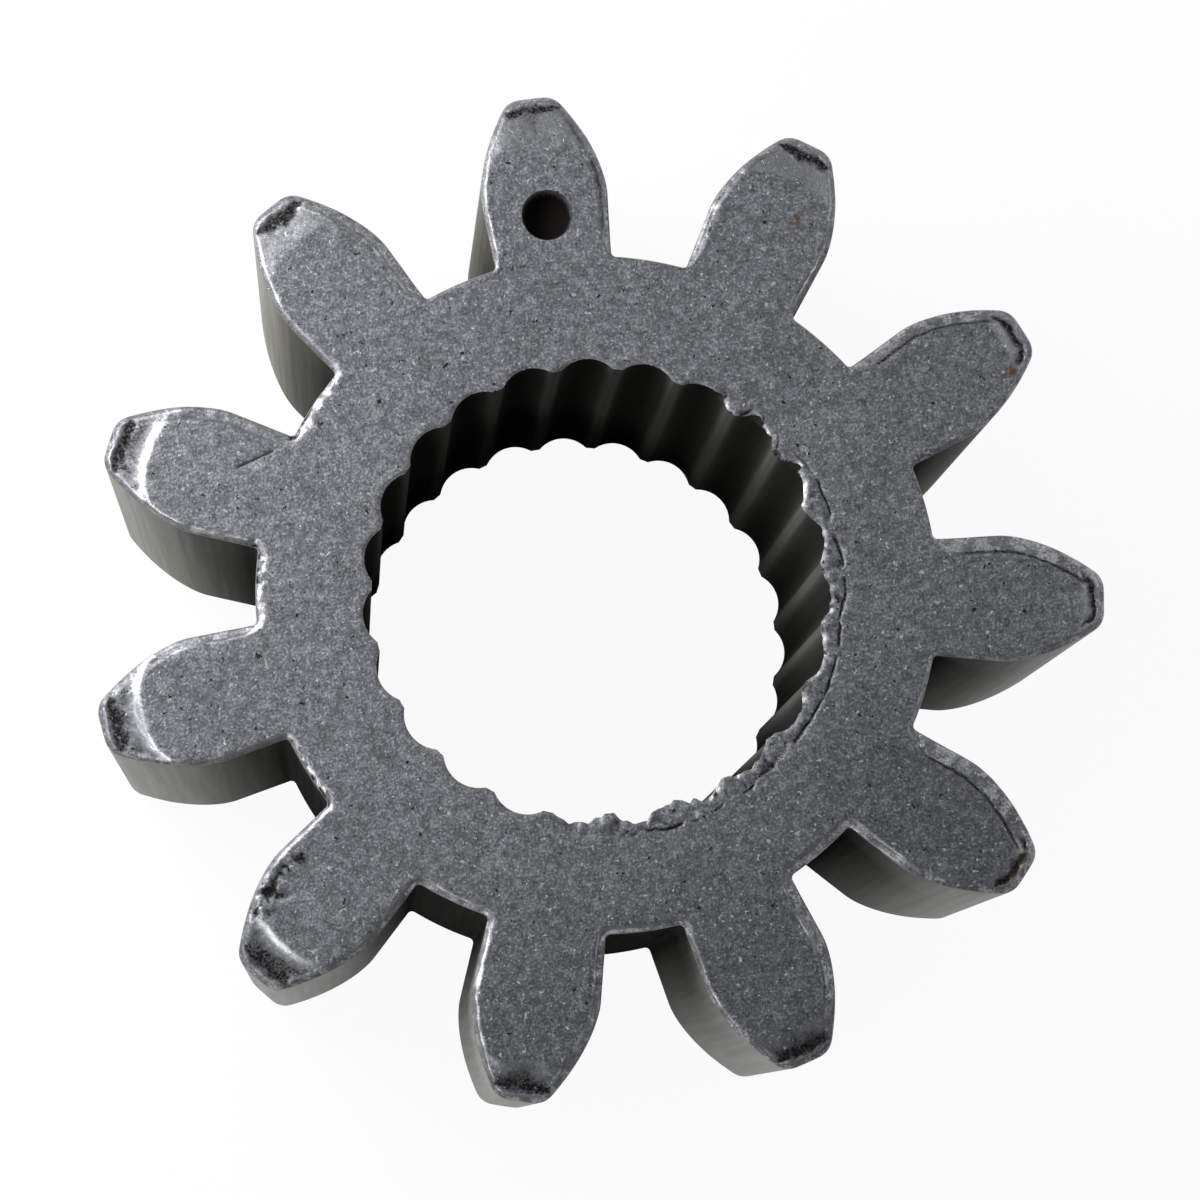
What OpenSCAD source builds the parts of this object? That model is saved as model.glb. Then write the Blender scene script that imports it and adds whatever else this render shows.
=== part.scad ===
// Steering pinion: a spur gear pressed and sintered from steel powder as one piece.
// Its axis is Z. The plain face lies on z = 0, the marked face is on top,
// and the tooth with the timing dot points along +Y.

/* [Teeth] */
// Number of teeth
teeth = 11; // [9:1:24]
// Module: the pitch diameter over the number of teeth
tooth_module = 3.175; // [2.8:0.005:5]
// Pressure angle of the flanks, in degrees
pressure_angle = 20; // [18:0.5:24]
// Height of a tooth above the pitch circle, in modules
addendum_factor = 1; // [0.85:0.01:1.05]
// Depth of a gap below the pitch circle, in modules
dedendum_factor = 1.157; // [1.05:0.001:1.25]
// Lean of a tooth's sides below the base circle, in degrees off its middle
root_lean = 4.5; // [1:0.5:8]
// Rounding of the two corners at the bottom of a gap
root_round = 0.2; // [0.1:0.05:0.6]
// Rounding of the two corners at the tip of a tooth
tip_round = 0.9; // [0.6:0.05:1.1]
// Width of the gear along its axis
face_width = 19.05; // [8:0.05:40]

/* [Pressed edges] */
// Width of the narrow flat rim round each face
rim_w = 0.3; // [0.15:0.05:0.5]
// Drop from a face to its rim
rim_drop = 0.2; // [0.1:0.05:0.25]
// Width of the bevel at each tooth tip
tip_bevel_w = 1.85; // [1:0.05:2.4]
// Drop of that bevel at the very tip
tip_drop = 0.45; // [0.3:0.05:0.8]

/* [Bore] */
// Diameter across the crests of the serrations
bore_d = 18.25; // [12:0.05:20]
// Depth of a serration below the crests
serration_depth = 0.4; // [0.2:0.05:0.6]
// Number of serrations round the bore
serrations = 23; // [16:1:30]
// Width of a crest
crest_w = 0.4; // [0.2:0.05:0.8]
// Angle from the marked tooth to the nearest crest, in degrees
serration_turn = 3; // [-8:0.5:8]

/* [Timing dot] */
// Diameter of the dot at the face
dot_d = 2.1; // [1:0.1:2.8]
// Diameter of the dot's flat floor
dot_floor_d = 1.7; // [0.8:0.1:2.8]
// Depth of the dot
dot_depth = 1; // [0.4:0.1:2]
// Distance of the dot's centre outside the root circle
dot_rise = 1.8; // [1:0.1:2.4]

/* [Hidden] */

$fn = 96;
gap_pts = 3;     // steps along half the bottom of a gap
root_pts = 3;    // steps round a root corner
flank_pts = 7;   // steps along an involute
tip_pts = 4;     // steps round a tip corner
overcut = 1;     // how far a cutting shape runs past a face

pitch_r = teeth * tooth_module / 2;
base_r = pitch_r * cos(pressure_angle);
tip_r = pitch_r + addendum_factor * tooth_module;
root_r = pitch_r - dedendum_factor * tooth_module;
tooth_pitch = 360 / teeth;

bore_r = bore_d / 2;
groove_r = bore_r + serration_depth;
groove_half_angle = (360 / serrations - crest_w / bore_r * 180 / PI) / 2;
groove_axis_r = (groove_r * groove_r - bore_r * bore_r)
    / (2 * (groove_r - bore_r * cos(groove_half_angle)));

function to_degrees(a) = a * 180 / PI;
function polar(r, a) = [r * cos(a), r * sin(a)];
function involute(a) = to_degrees(tan(a)) - a;
function slope_at(r) = acos(min(1, base_r / r));

// Half the angle that a tooth spans at radius r, with its flanks set in by inset.
// Setting an involute in by a distance only turns it about the axis.
function flank_angle(r, inset) = tooth_pitch / 4 + involute(pressure_angle)
    - involute(slope_at(r)) - to_degrees(inset / base_r);

// Below the base circle a tooth's side runs straight to the root circle. The corner between the two
// is rounded about a centre that lies root_round away from both.
foot_angle = flank_angle(base_r, 0);
corner_r = root_r + root_round;
corner_angle = root_lean + asin((base_r * sin(foot_angle - root_lean) + root_round) / corner_r);
corner_turn = 90 + root_lean - corner_angle;

// One side of a tooth from the bottom of the gap to the tip, as radius and angle off its middle.
// The tip's corner circle touches the flank, so its centre lies on the flank set in by its radius.
function tooth_side(inset, r_tip, corner) =
    let (root_corner = [for (i = [0 : root_pts])
        polar(corner_r, corner_angle)
            + polar(root_round + inset, 180 + corner_angle + corner_turn * i / root_pts)])
    let (hub_r = r_tip - corner)
    let (hub_angle = flank_angle(hub_r, inset + corner))
    let (hub = polar(hub_r, hub_angle))
    let (turn = 90 - slope_at(hub_r))
    let (rounding = [for (i = [0 : tip_pts])
        hub + polar(corner, hub_angle + turn * (1 - i / tip_pts))])
    let (flank_end = norm(rounding[0]))
    concat(
        [for (i = [1 : gap_pts - 1])
            [root_r - inset, tooth_pitch / 2 + (corner_angle - tooth_pitch / 2) * i / gap_pts]],
        [for (p = root_corner) [norm(p), atan2(p[1], p[0])]],
        [for (i = [0 : flank_pts - 1])
            let (r = base_r + (flank_end - base_r) * i / flank_pts)
            [r, flank_angle(r, inset)]],
        [for (p = rounding) [norm(p), atan2(p[1], p[0])]]);

// Outline of the whole gear, set in by inset, with its own tip radius and tip rounding
function outline(inset, r_tip, corner) =
    let (side = tooth_side(inset, r_tip, corner))
    let (last = len(side) - 1)
    [for (k = [0 : teeth - 1])
        let (middle = 90 + k * tooth_pitch)
        each concat(
            [polar(root_r - inset, middle - tooth_pitch / 2)],
            [for (p = side) polar(p[0], middle - p[1])],
            [polar(r_tip, middle)],
            [for (i = [0 : last]) polar(side[last - i][0], middle + side[last - i][1])])];

body_outline = outline(0, tip_r, tip_round);
rim_outline = outline(rim_w, tip_r - rim_w, tip_round - rim_w);

// What is missing round a face: the step down to its rim, and the bevel at the tooth tips
module pressed_edge() {
    bevel_slope = tip_drop / tip_bevel_w;
    outside_r = tip_r + overcut;
    above = rim_drop + overcut;
    linear_extrude(above)
        difference() {
            circle(r = outside_r);
            polygon(rim_outline);
        }
    rotate_extrude()
        polygon([
            [outside_r, rim_drop - bevel_slope * (tip_bevel_w + overcut)],
            [outside_r, above],
            [tip_r - tip_bevel_w - overcut / bevel_slope, above]]);
}

// Serrated bore: a round hole whose wall is scooped by a ring of shallow grooves
module serrated_bore() {
    translate([0, 0, -overcut])
        cylinder(r = bore_r, h = face_width + 2 * overcut);
    for (i = [0 : serrations - 1])
        rotate(90 + serration_turn + (i + 0.5) * 360 / serrations)
            translate([groove_axis_r, 0, -overcut])
                cylinder(r = groove_r - groove_axis_r, h = face_width + 2 * overcut);
}

// Blind dot pressed into the root of one tooth, narrower at its floor
module timing_dot() {
    flare = (dot_d - dot_floor_d) / dot_depth;
    translate([0, root_r + dot_rise, face_width - dot_depth])
        cylinder(d1 = dot_floor_d, d2 = dot_d + flare * overcut, h = dot_depth + overcut);
}

module pinion_gear() {
    color("dimgray")
    difference() {
        linear_extrude(face_width)
            polygon(body_outline);
        translate([0, 0, face_width - rim_drop])
            pressed_edge();
        translate([0, 0, rim_drop])
            mirror([0, 0, 1])
                pressed_edge();
        serrated_bore();
        timing_dot();
    }
}

pinion_gear();
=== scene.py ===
import math
import bpy
import numpy as np
from mathutils import Matrix, Vector
from mathutils.geometry import delaunay_2d_cdt


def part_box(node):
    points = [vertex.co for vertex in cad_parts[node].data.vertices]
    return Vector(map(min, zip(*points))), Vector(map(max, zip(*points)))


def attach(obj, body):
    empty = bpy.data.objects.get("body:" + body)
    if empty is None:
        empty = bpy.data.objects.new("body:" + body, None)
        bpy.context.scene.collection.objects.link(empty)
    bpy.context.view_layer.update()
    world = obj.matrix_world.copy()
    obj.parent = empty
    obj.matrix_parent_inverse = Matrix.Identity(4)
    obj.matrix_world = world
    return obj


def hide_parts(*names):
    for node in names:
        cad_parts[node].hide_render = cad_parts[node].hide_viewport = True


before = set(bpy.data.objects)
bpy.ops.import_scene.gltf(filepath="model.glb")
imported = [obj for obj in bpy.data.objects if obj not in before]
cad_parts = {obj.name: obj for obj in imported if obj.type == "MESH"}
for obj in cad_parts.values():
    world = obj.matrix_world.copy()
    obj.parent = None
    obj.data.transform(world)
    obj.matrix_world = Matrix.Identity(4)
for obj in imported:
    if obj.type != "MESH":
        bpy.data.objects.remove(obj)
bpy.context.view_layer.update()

nodeLow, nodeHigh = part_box("pinion_gear")
mm = 0.001
faceWidth = (nodeHigh.z - nodeLow.z) / mm
print("frame loaded, face width %.2f mm" % faceWidth)


# Directions of the picture, laid in the gear's own plane
cameraView = {
    "turnDeg": -7.254,          # picture's right, from +X
    "leanDeg": 8.4735,          # off the gear's axis
    "leanTowardsDeg": 237.97,   # which way it leans, from +X
    "distance": 164.8,          # mm from the middle of the marked face
    "lens": 122.85,             # mm
    "sensor": 36,
    "clip": (0.01, 10),         # m
    "aimRight": 0.05,           # mm, sets the gear in the frame as in the picture
    "aimUp": -0.354,
}
turn = math.radians(cameraView["turnDeg"])
pictureRight = np.array([math.cos(turn), math.sin(turn)])
pictureUp = np.array([-math.sin(turn), math.cos(turn)])


# Tooth form, worked out as in the part's source
gear = {
    "teeth": 11,
    "module": 3.175,            # mm
    "pressureDeg": 20.0,
    "dedendum": 1.157,          # in modules
    "rootLeanDeg": 4.5,         # sides below the base circle, off the tooth's middle
    "rootRound": 0.2,           # mm, corners at the bottom of a gap
    "tipRound": 0.9,            # mm, corners at a tip
    "fitIn": 0.02,              # mm, keeps the finer outline inside the solid's box
    "outlineStep": 0.125,       # mm between points round the outline
    "gapPoints": 16,            # points on one side of a tooth, before they are spaced evenly
    "rootSteps": 6,
    "flankPoints": 20,
    "tipSteps": 12,
}
pressure = math.radians(gear["pressureDeg"])
toothPitch = 2 * math.pi / gear["teeth"]
pitchRadius = gear["teeth"] * gear["module"] / 2
baseRadius = pitchRadius * math.cos(pressure)
tipRadius = pitchRadius + gear["module"]
rootRadius = pitchRadius - gear["dedendum"] * gear["module"]


def involute(a):
    return math.tan(a) - a


def slopeAt(r):
    return math.acos(min(1.0, baseRadius / r))


def flankAngle(r, inset=0.0):
    return toothPitch / 4 + involute(pressure) - involute(slopeAt(r)) - inset / baseRadius


def polarPair(x, y):
    return math.hypot(x, y), math.atan2(y, x)


def toothSide():
    lean, corner = math.radians(gear["rootLeanDeg"]), gear["rootRound"]
    foot = flankAngle(baseRadius)
    hubRadius = rootRadius + corner         # root corner, rounded about a point in the gap
    hubAngle = lean + math.asin((baseRadius * math.sin(foot - lean) + corner) / hubRadius)
    side = [(rootRadius, a) for a in np.linspace(toothPitch / 2, hubAngle, gear["gapPoints"])[1:-1]]
    for i in range(gear["rootSteps"] + 1):
        a = math.pi + hubAngle + (math.pi / 2 + lean - hubAngle) * i / gear["rootSteps"]
        side.append(polarPair(hubRadius * math.cos(hubAngle) + corner * math.cos(a),
                              hubRadius * math.sin(hubAngle) + corner * math.sin(a)))
    corner = gear["tipRound"]
    hubRadius = tipRadius - corner
    hubAngle = flankAngle(hubRadius, corner)
    swing = math.pi / 2 - slopeAt(hubRadius)
    rounding = []
    for i in range(gear["tipSteps"] + 1):
        a = hubAngle + swing * (1 - i / gear["tipSteps"])
        rounding.append(polarPair(hubRadius * math.cos(hubAngle) + corner * math.cos(a),
                                  hubRadius * math.sin(hubAngle) + corner * math.sin(a)))
    flank = np.linspace(baseRadius, rounding[0][0], gear["flankPoints"])[:-1]
    side += [(r, flankAngle(r)) for r in flank]
    return side + rounding + [(tipRadius, hubAngle * f) for f in (0.66, 0.33)]


def evenly(loop, count):
    closed = np.vstack([loop, loop[:1]])
    along = np.concatenate([[0], np.cumsum(np.linalg.norm(np.diff(closed, axis=0), axis=1))])
    where = np.linspace(0, along[-1], count, endpoint=False)
    return np.stack([np.interp(where, along, closed[:, 0]),
                     np.interp(where, along, closed[:, 1])], 1)


def loopNormals(loop):
    along = np.roll(loop, -1, 0) - np.roll(loop, 1, 0)
    along /= np.linalg.norm(along, axis=1)[:, None]
    return np.stack([along[:, 1], -along[:, 0]], 1)     # outwards from a loop that runs anticlockwise


def gearOutline():
    side = toothSide()
    points = []
    for k in range(gear["teeth"]):
        middle = math.pi / 2 + k * toothPitch
        tooth = [(rootRadius, -toothPitch / 2)] + [(r, -a) for r, a in side]
        tooth += [(tipRadius, 0.0)] + [(r, a) for r, a in reversed(side)]
        points += [(r * math.cos(middle + a), r * math.sin(middle + a)) for r, a in tooth]
    points = np.array(points) * (1 - gear["fitIn"] / tipRadius)
    length = np.linalg.norm(points - np.roll(points, 1, 0), axis=1).sum()
    pointsEach = round(length / gear["teeth"] / gear["outlineStep"])
    return evenly(points, pointsEach * gear["teeth"])


outline = gearOutline()
outlineOut = loopNormals(outline)
print("outline of %d points, %.2f mm over the tips" % (len(outline), 2 * tipRadius))


# Serrated bore
bore = {
    "crestDiameter": 18.25,     # mm
    "serrationDepth": 0.4,
    "serrations": 23,
    "crestWidth": 0.4,
    "turnDeg": 3.0,             # first crest, from the marked tooth
    "pointsEach": 26,
}


def boreLoop():
    crest = bore["crestDiameter"] / 2
    groove = crest + bore["serrationDepth"]
    pitch = 2 * math.pi / bore["serrations"]
    half = (pitch - bore["crestWidth"] / crest) / 2
    hub = (groove ** 2 - crest ** 2) / (2 * (groove - crest * math.cos(half)))
    scoop = groove - hub
    count = bore["serrations"] * bore["pointsEach"]
    first = math.pi / 2 + math.radians(bore["turnDeg"])
    points = []
    for i in range(count):
        a = 2 * math.pi * i / count
        off = (a % pitch) - pitch / 2
        inside = scoop ** 2 - (hub * math.sin(off)) ** 2
        r = max(crest, hub * math.cos(off) + math.sqrt(max(0.0, inside)))
        points.append((r * math.cos(first + a), r * math.sin(first + a)))
    return np.array(points)


boreEdge = boreLoop()
boreOut = loopNormals(boreEdge)


# Seeded unevenness of the pressed powder, from -1 to 1
noiseCells = 97                             # before the pattern repeats


def unevenness(points, size, seed):
    grid = np.random.default_rng(seed).uniform(-1, 1, (noiseCells, noiseCells))
    at = points / size
    cell = np.floor(at).astype(int)
    f = at - cell
    f = f * f * (3 - 2 * f)
    x0, y0 = cell[:, 0] % noiseCells, cell[:, 1] % noiseCells
    x1, y1 = (x0 + 1) % noiseCells, (y0 + 1) % noiseCells
    low = grid[x0, y0] * (1 - f[:, 0]) + grid[x1, y0] * f[:, 0]
    high = grid[x0, y1] * (1 - f[:, 0]) + grid[x1, y1] * f[:, 0]
    return low * (1 - f[:, 1]) + high * f[:, 1]


def fade(low, high, value):
    f = np.clip((value - low) / (high - low), 0, 1)
    return f * f * (3 - 2 * f)


def nearest(points, loop):
    batch = 2000                            # points at a time, to spare memory
    found = np.zeros(len(points), int)
    for start in range(0, len(points), batch):
        part = points[start:start + batch]
        gap = ((part[:, None, :] - loop[None, :, :]) ** 2).sum(2)
        found[start:start + batch] = gap.argmin(1)
    return found


def depthInside(points, loop, out):
    j = nearest(points, loop)
    return ((loop[j] - points) * out[j]).sum(1), j


# Marked face: rim, tip bevels, crevices, ragged bore edge and timing dot
faceForm = {
    # tooth by tooth, clockwise from the marked one, in mm: the punch stood off centre in its die,
    # so the land that it left round the face is wide on some flanks and narrow on others
    "rimLeft": [0.12, 0.26, 0.5, 0.62, 0.68, 0.45, 0.28, 0.2, 0.12, 0.1, 0.1],
    "rimRight": [0.26, 0.16, 0.1, 0.14, 0.28, 0.12, 0.14, 0.1, 0.32, 0.5, 0.42],
    "rimRoot": [0.04, 0.04, 0.06, 0.15, 0.38, 0.24, 0.2, 0.05, 0.05, 0.05, 0.05],   # gap after each tooth
    # slope down to the land
    "chamferLeft": [0.13, 0.1, 0.13, 0.13, 0.13, 0.15, 0.17, 0.18, 0.16, 0.22, 0.19],
    "chamferRight": [0.13, 0.14, 0.12, 0.12, 0.12, 0.13, 0.16, 0.15, 0.13, 0.14, 0.17],
    "chamferRoot": [0.0, 0.0, 0.01, 0.06, 0.11, 0.1, 0.13, 0.24, 0.26, 0.26, 0.04],
    # bevel and torn crevice at each tip
    "bevelWidths": [1.95, 1.85, 1.2, 1.1, 1.1, 1.4, 1.4, 1.8, 1.8, 1.8, 1.9],
    "bandSlope": [0.2, 0.24, 0.3, 0.3, 0.3, 0.36, 0.4, 0.44, 0.44, 0.44, 0.14],     # next to the face
    "creviceWidths": [0.52, 0.52, 0.36, 0.3, 0.36, 0.62, 0.6, 0.7, 0.62, 0.62, 0.62],
    "creviceCurl": [0.45, 0.45, 0.85, 1.0, 0.8, 0.3, 0.3, 0.4, 0.4, 0.4, 0.4],      # 1 follows the outline
    # how far each part is rubbed bright or torn dark, from 0 to about 1; the dark of the outer bevels is
    # partly painted shade, and the rubbed sheen of the flanks partly painted highlight
    "bandShine": [0.3, 0.3, 0.2, 0.2, 0.2, 0.35, 0.5, 0.9, 1.0, 1.0, 0.2],
    "slopeShine": [0.4, 0.5, 0.3, 0.3, 0.3, 0.2, 0.2, 0.1, 0.08, 0.08, 0.25],
    "slopeDark": [0.0, 0.05, 0.1, 0.1, 0.3, 1.1, 1.0, 0.75, 0.7, 0.65, 0.3],
    "landFlecks": [0.2, 0.3, 0.7, 0.8, 0.8, 0.5, 0.9, 0.8, 0.2, 0.2, 0.3],
    "rubbedLeft": [0.2, 0.1, 0.0, 0.0, 0.0, 0.3, 0.9, 0.5, 0.7, 1.1, 0.4],
    "rubbedRight": [0.3, 0.5, 0.2, 0.1, 0.0, 0.3, 1.0, 0.9, 0.2, 0.3, 1.1],
    "leftCrack": [0.1, 0.55, 1.0, 1.0, 1.0, 0.35, 0.2, 0.1, 0.0, 0.0, 0.0],
    "rightCrack": [0.7, 0.0, 0.0, 0.1, 0.1, 0.0, 0.0, 0.2, 0.3, 0.3, 0.15],
    "brightFlanks": (6, 9, 10),     # teeth whose flanks stay bright up to the tip
    # edges, in mm, with slopes as drop over width
    "gapMargin": 0.35,          # above the root circle, still bottom of a gap
    "raggedness": 0.018,        # waver of the land's inner edge
    "chamferSlope": 0.48,
    "chamferSteeper": 0.16,     # added low on the left flank of one tooth
    "steeperTooth": 9,
    "step": 0.06,               # upright part of the chamfer
    "edgeRound": 0.16,          # worn outer edge
    "tipEdgeRound": 0.3,
    "edgeSteepest": 0.95,       # share of the rounding that is kept
    "bevelEase": 0.05,          # rounding where a bevel leaves the face
    "bevelLead": 0.5,
    "bevelFrom": 16.8,          # no bevel nearer the axis
    "outerDrop": 0.085,         # bevel beyond its band
    "outerSlope": 0.18,
    "creviceEdge": 0.36,        # from the tip to a crevice
    "creviceHalf": 1.25,
    "creviceFrom": 19.0,
    "creviceDepth": 0.1,
    "flankCrack": 0.075,
    "flankCrackSpan": (14.6, 19.7),
    "faceWave": 0.012,          # slow rise and fall of the face
    "landGrain": 0.014,
    # edge of the bore: a burr, a crack behind it and some chipped grooves
    "lipFromDeg": -30,          # clockwise from the picture's right
    "lipToDeg": 100,
    "crackToDeg": 84,
    "tornFromDeg": 45,          # burr torn deeper from here on
    "chipFromDeg": -58,
    "chipToDeg": -27,
    "lipReach": 0.36,           # how far the burr hangs into the bore
    "lipFoot": 0.5,             # how far back it bends the face
    "lipLumps": 0.03,
    "chipReach": 0.26,
    "burrHeight": 0.22,
    "arcRadius": 9.3,           # where lengths round the bore are measured
    "crackRadius": 9.93,
    "crackWidth": 0.06,
    "crackDepth": 0.12,
    "boreRound": 0.1,
    "boreSlope": 0.46,
    "biteDepth": 0.025,
    # timing dot and other marks
    "dotDiameter": 2.1,
    "dotFloor": 1.7,
    "dotDepth": 1.0,
    "dotDish": 0.12,            # floor deeper in the middle
    "dotRise": 1.8,             # outside the root circle
    "scratch": (9, 0.47, 15.35, 1.55, 14.18),       # tooth, then across and out at both ends
    "scratchWidth": 0.055,
    "scratchDepth": 0.05,
    "chipStrip": (7, 1.15, 2.15, 15.6, 18.9),       # tooth, then across and out, from and to
    "chipStripDepth": 0.07,
    "rustSpots": [(1, 0.82, 17.35, 0.26), (2, 1.25, 19.2, 0.26),    # tooth, across, out, size
                  (4, -0.45, 20.1, 0.3), (4, 0.3, 20.15, 0.25)],
    "paintedShadeAtDeg": 62,             # middle of the side darkened by painted shade, clockwise from the picture's right
    "paintedShadeShare": 0.26,
    # plain face, hidden in the picture and the same all round
    "plainRim": 0.25,
    "plainChamfer": 0.15,
    "plainBand": 0.44,
    "plainBoreRound": 0.08,
    "plainBoreDrop": 0.05,
    "plainBoreEdge": 0.06,
}
dotCentre = np.array([0.0, rootRadius + faceForm["dotRise"]])


def clockwiseDeg(points):
    right, up = points @ pictureRight, points @ pictureUp
    return np.degrees(np.arctan2(-up, right))


def toothPlace(points):
    a = np.arctan2(points[:, 1], points[:, 0]) - math.pi / 2
    k = np.round(a / toothPitch)
    off = a - k * toothPitch
    r = np.linalg.norm(points, axis=1)
    return np.mod(-k.astype(int), gear["teeth"]), -r * np.sin(off), r * np.cos(off)


def onTooth(tooth, across, out):
    a = math.pi / 2 - tooth * toothPitch
    return np.array([math.cos(a) * out + math.sin(a) * across,
                     math.sin(a) * out - math.cos(a) * across])


def scratchEnds():
    tooth, x0, y0, x1, y1 = faceForm["scratch"]
    return onTooth(tooth, x0, y0), onTooth(tooth, x1, y1)


def roundBore(a):
    # the way round the edge of the bore, laid out straight
    return np.stack([np.radians(a) * faceForm["arcRadius"], 0 * a], 1)


def ridge(value, width):
    return np.exp(-(value / width) ** 2)


def within(a, low, high, soft):
    return fade(low - soft, low + soft, a) * (1 - fade(high - soft, high + soft, a))


def fromLine(points, a, b):
    along = np.clip(((points - a) @ (b - a)) / ((b - a) @ (b - a)), 0, 1)
    return np.linalg.norm(points - a - along[:, None] * (b - a), axis=1)


def perTooth(name, tooth):
    return np.array(faceForm[name])[tooth]


def sided(name, tooth, across):
    return np.where(across < 0, perTooth(name + "Left", tooth), perTooth(name + "Right", tooth))


def alongOutline():
    # widths of the land and of its chamfer at each point of the outline, blended round corners
    tooth, across = toothPlace(outline)[:2]
    gap = np.where(across < 0, (tooth - 1) % gear["teeth"], tooth)
    inGap = np.linalg.norm(outline, axis=1) < rootRadius + faceForm["gapMargin"]
    reach = 7                               # points blended on each side
    window = np.hanning(2 * reach + 1)
    window /= window.sum()
    blended = []
    for name in ("rim", "chamfer"):
        width = np.where(inGap, perTooth(name + "Root", gap), sided(name, tooth, across))
        width = np.concatenate([width[-reach:], width, width[:reach]])
        blended.append(np.convolve(width, window, "valid"))
    return blended


rimAlong, chamferAlong = alongOutline()


def tipBevel(past, slope):
    # steeper in a band next to the face, flatter beyond it
    eased = 0.5 * (past + np.sqrt(past ** 2 + faceForm["bevelEase"] ** 2))
    bevel = np.minimum(slope * eased, faceForm["outerDrop"] + faceForm["outerSlope"] * eased)
    return np.where(past > -faceForm["bevelLead"], bevel, 0.0)


def wornEdge(d, radius):
    bent = np.clip(1 - d / radius, 0, faceForm["edgeSteepest"])
    return radius * (1 - np.sqrt(1 - bent ** 2))


def markedFace(points, atBore):
    f = faceForm
    d, j = depthInside(points, outline, outlineOut)
    ragged = 0.6 * unevenness(points, 0.3, 3) + 0.4 * unevenness(points, 0.13, 4)
    e = d - rimAlong[j] + f["raggedness"] * ragged      # in from the land
    r = np.linalg.norm(points, axis=1)
    a = clockwiseDeg(points)
    tooth, across, out = toothPlace(points)

    # chamfer and small step down to the land, frayed in some gaps
    atRoot = fade(0.19, 0.24, chamferAlong[j]) * (1 - fade(14.2, 14.5, r))
    frayed = 0.3 * unevenness(points, 0.35, 5) + 0.45 * atRoot * unevenness(points, 0.17, 7)
    wide = chamferAlong[j] * (1 + frayed)
    steeper = (tooth == f["steeperTooth"]) * (across < 0) * (1 - fade(16.8, 19.2, r))
    step = (f["chamferSlope"] + f["chamferSteeper"] * steeper) * np.clip(wide - e, 0, wide)
    step = step + f["step"] * (1 - fade(-0.05, 0.02, e)) * np.clip(wide / 0.12, 0, 1)

    # tip bevel, running out into the flanks' chamfers
    past = r - (tipRadius - perTooth("bevelWidths", tooth)) + 0.5 * (np.abs(across) / 1.9) ** 3
    past = np.where(out > f["bevelFrom"], past, -1.0)
    bevel = tipBevel(past, perTooth("bandSlope", tooth))
    depth = np.maximum(step, bevel)

    # worn outer edge, rounder at the tips
    worn = f["edgeRound"] + (f["tipEdgeRound"] - f["edgeRound"]) * fade(18.5, 19.8, r)
    worn = worn * (0.2 + 0.8 * fade(13.9, 14.6, r))
    depth = depth + wornEdge(d, worn)

    # torn crevices at the tips and along some flanks
    narrow = 1 - np.clip(np.abs(across) / f["creviceHalf"], 0, 1) ** 2
    curl = perTooth("creviceCurl", tooth)
    fromTip = curl * d + (1 - curl) * (tipRadius - r)
    x = fromTip - f["creviceEdge"] + 0.09 * ragged
    x = x / (perTooth("creviceWidths", tooth) * narrow + 0.02)
    inTip = fade(-0.15, 0.3, x) * (1 - fade(0.5, 1.4, x + 0.35 * ragged)) * fade(0.02, 0.3, narrow)
    inTip = inTip * (out > f["creviceFrom"])
    strength = np.where(across < 0, perTooth("leftCrack", tooth), perTooth("rightCrack", tooth))
    thin = f["flankCrack"] + 0.03 * unevenness(points, 0.7, 8)
    onFlank = ridge(e - 0.03 + 0.04 * ragged, thin) * strength * within(r, *f["flankCrackSpan"], 0.5)
    onFlank = onFlank * fade(-0.75, -0.25, unevenness(points, 0.9, 9) + strength - 0.7)
    crevice = np.maximum(inTip, onFlank)
    depth = depth + f["creviceDepth"] * crevice * (0.75 + 0.4 * ragged)
    depth = depth + f["faceWave"] * (1 + unevenness(points, 0.5, 6)) * fade(0.0, 0.2, e)
    land = 1 - fade(-0.06, 0.03, e)
    depth = depth + land * f["landGrain"] * (1 + ragged)

    # burr round the bore, split from the face by a broken crack
    lip = within(a, f["lipFromDeg"], f["lipToDeg"], 5)
    wander = unevenness(roundBore(a), 1.1, 21)
    crackRadius = f["crackRadius"] + 0.07 * wander + 0.045 * unevenness(points, 0.3, 22)
    broken = fade(-0.65, -0.2, unevenness(points, 0.45, 23) - 0.25 * fade(20, 60, a))
    split = f["crackWidth"] + 0.03 * unevenness(points, 0.6, 24)
    crack = ridge(r - crackRadius - 0.03 * ragged, split) * broken
    crack = crack * within(a, f["lipFromDeg"], f["crackToDeg"], 5)
    onLip = lip * (1 - fade(-0.12, 0.02, r - crackRadius))
    lumps = f["lipLumps"] * (1 + unevenness(points, 0.22, 25)) + 0.012 * ragged
    depth = depth + f["crackDepth"] * crack + onLip * lumps
    chipped = within(a, f["chipFromDeg"], f["chipToDeg"], 3)
    edge = f["boreRound"] + 0.06 * lip + 0.08 * chipped
    depth = depth + f["boreSlope"] * np.clip(edge - atBore + 0.04 * ragged, 0, edge)
    rubbed = fade(-0.1, 0.35, unevenness(points, 0.3, 27)) * (1 - fade(0.7, 1.0, atBore / edge))
    rubbed = rubbed * (0.3 + 0.35 * lip + 0.6 * chipped)

    # timing dot and scratch
    rho = np.linalg.norm(points - dotCentre, axis=1)
    dotEdge, dotFloor = f["dotDiameter"] / 2, f["dotFloor"] / 2
    inDot = np.clip((dotEdge - rho) / (dotEdge - dotFloor), 0, 1)
    dish = f["dotDish"] * np.clip(rho / dotFloor, 0, 1) ** 2
    depth = np.maximum(depth, inDot * (f["dotDepth"] - dish))
    scratch = ridge(fromLine(points, *scratchEnds()), f["scratchWidth"])
    depth = depth + f["scratchDepth"] * scratch

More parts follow.
